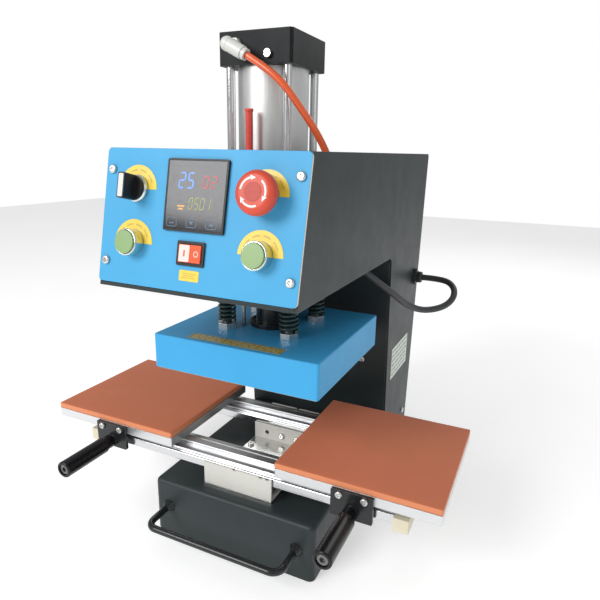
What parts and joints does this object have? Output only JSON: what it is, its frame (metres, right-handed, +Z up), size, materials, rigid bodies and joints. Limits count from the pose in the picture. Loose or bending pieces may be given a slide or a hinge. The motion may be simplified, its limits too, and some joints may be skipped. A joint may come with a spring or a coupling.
{
  "type": "pneumatic heat press",
  "caption": "Two-station pneumatic heat press: cylinder-driven heated platen over a sliding table with silicone pads.",
  "frame": {"origin": "on the bench, under the axis of the air cylinder and the heated platen", "axes": "+X to the operator's right along the table's travel, +Y away from the operator, +Z up"},
  "size_m": [0.566, 0.5304, 0.634],
  "materials": {
    "frame_black": "semi-gloss slate black paint",
    "panel_blue": "satin sky blue enamel",
    "platen_blue": "satin blue enamel",
    "silicone": "matte terracotta silicone sponge",
    "tray_aluminium": "brushed",
    "barrel_aluminium": "satin anodised",
    "rail_aluminium": "extruded",
    "chrome": "polished",
    "plated_steel": "zinc plated",
    "bracket_ivory": "ivory powder coat",
    "bearing_steel": "ground",
    "nylon": "natural nylon",
    "black_steel": "gloss black",
    "spring_steel": "dark green-black lacquer",
    "grip_black": "gloss black",
    "bezel_plastic": "pale bezel",
    "button_green": "pale green",
    "stop_red": "signal red",
    "black_plastic": "moulded black",
    "display_glass": "smoked window",
    "rocker_red": "translucent red",
    "label_yellow": "printed film",
    "label_olive": "printed film",
    "label_grey": "printed film",
    "hose_orange": "polyurethane",
    "vent_red": "polyurethane",
    "cable_grey": "rubber sheath",
    "gland_black": "moulded black",
    "fitting_white": "moulded white"
  },
  "bodies": {
    "frame": {"base_box": "frame_black", "side_plates": "frame_black", "frame_liner": "frame_black", "frame_wrap": "frame_black", "control_panel": "panel_blue", "frame_screws": "plated_steel", "display_housing": "black_plastic", "display_window": "display_glass", "rocker_housing": "black_plastic", "control_labels": "label_yellow", "button_bezels": "bezel_plastic", "short_collars": "bezel_plastic", "contact_blocks": "black_plastic", "cylinder_deck": "frame_black", "cylinder_lower_cap": "frame_black", "cylinder_barrel": "barrel_aluminium", "cylinder_upper_cap": "frame_black", "tie_rods": "chrome", "tie_rod_nuts": "plated_steel", "air_elbows": "fitting_white", "cushion_screw": "plated_steel", "vent_tube": "vent_red", "air_hose": "hose_orange", "solenoid_valve": "black_plastic", "power_cable": "cable_grey", "cable_glands": "gland_black", "air_inlet": "plated_steel", "mains_inlet": "black_plastic", "rating_label": "label_grey", "front_loop": "black_steel", "slide_sole": "plated_steel", "slide_brackets": "bracket_ivory", "slide_bearings": "bearing_steel"},
    "platen": {"piston": "barrel_aluminium", "piston_rod": "chrome", "pressure_plate": "black_steel", "suspension_bolts": "black_steel", "suspension_nuts": "plated_steel", "platen_springs": "spring_steel", "platen_cover": "platen_blue", "heater_plate": "tray_aluminium", "platen_label": "label_olive", "lead_conduit": "plated_steel"},
    "slide_middle": {"slide_members": "chrome", "slide_end_blocks": "nylon"},
    "table": {"carriage_rails": "rail_aluminium", "tray_plates": "tray_aluminium", "tray_screws": "plated_steel", "silicone_pads": "silicone", "handle_brackets": "black_steel", "bracket_screws": "plated_steel", "handle_spindles": "plated_steel"},
    "left_grip": {"grip_left": "grip_black"},
    "right_grip": {"grip_right": "grip_black"},
    "left_button": {"button_left": "button_green"},
    "right_button": {"button_right": "button_green"},
    "stop_stem": {"estop_stem": "black_plastic"},
    "stop_head": {"estop_head": "stop_red"},
    "selector": {"selector_knob": "black_plastic"},
    "rocker": {"rocker_switch": "rocker_red"}
  },
  "joints": [
    {"name": "platen_stroke", "type": "slide", "parent": "frame", "child": "platen", "axis": [0, 0, 1], "range_m": [-0.0961, 0], "stiffness_N_per_m": 600, "springref_m": 0.22},
    {"name": "table_slide", "type": "slide", "parent": "frame", "child": "table", "axis": [1, 0, 0], "range_m": [-0.1571, 0.2039]},
    {"name": "members_slide", "type": "slide", "parent": "frame", "child": "slide_middle", "axis": [1, 0, 0], "range_m": [-0.0787, 0.1021]},
    {"name": "left_grip_spin", "type": "hinge", "parent": "table", "child": "left_grip", "pos_m": [-0.2039, -0.15, 0.105], "axis": [0, 1, 0], "continuous": true},
    {"name": "right_grip_spin", "type": "hinge", "parent": "table", "child": "right_grip", "pos_m": [0.1571, -0.15, 0.105], "axis": [0, 1, 0], "continuous": true},
    {"name": "left_button_push", "type": "slide", "parent": "frame", "child": "left_button", "axis": [0, 0.9776, -0.2103], "range_m": [0, 0.004], "stiffness_N_per_m": 700, "springref_m": -0.002},
    {"name": "right_button_push", "type": "slide", "parent": "frame", "child": "right_button", "axis": [0, 0.9776, -0.2103], "range_m": [0, 0.004], "stiffness_N_per_m": 700, "springref_m": -0.002},
    {"name": "stop_push", "type": "slide", "parent": "frame", "child": "stop_stem", "axis": [0, 0.9776, -0.2103], "range_m": [0, 0.004]},
    {"name": "stop_twist", "type": "hinge", "parent": "stop_stem", "child": "stop_head", "pos_m": [0.077, -0.17598, 0.46789], "axis": [0, 0.9776, -0.2103], "range_deg": [0, 40], "stiffness_Nm_per_rad": 0.02, "springref_deg": -11.46},
    {"name": "selector_turn", "type": "hinge", "parent": "frame", "child": "selector", "pos_m": [-0.077, -0.16522, 0.46558], "axis": [0, -0.9776, 0.2103], "range_deg": [-45, 45]},
    {"name": "rocker_tip", "type": "hinge", "parent": "frame", "child": "rocker", "pos_m": [-0.0015, -0.16946, 0.40307], "axis": [0, 0.2103, 0.9776], "range_deg": [-14, 0]}
  ],
  "couplings": [
    {"joint": "members_slide", "follows": "table_slide", "ratio": 0.5}
  ]
}
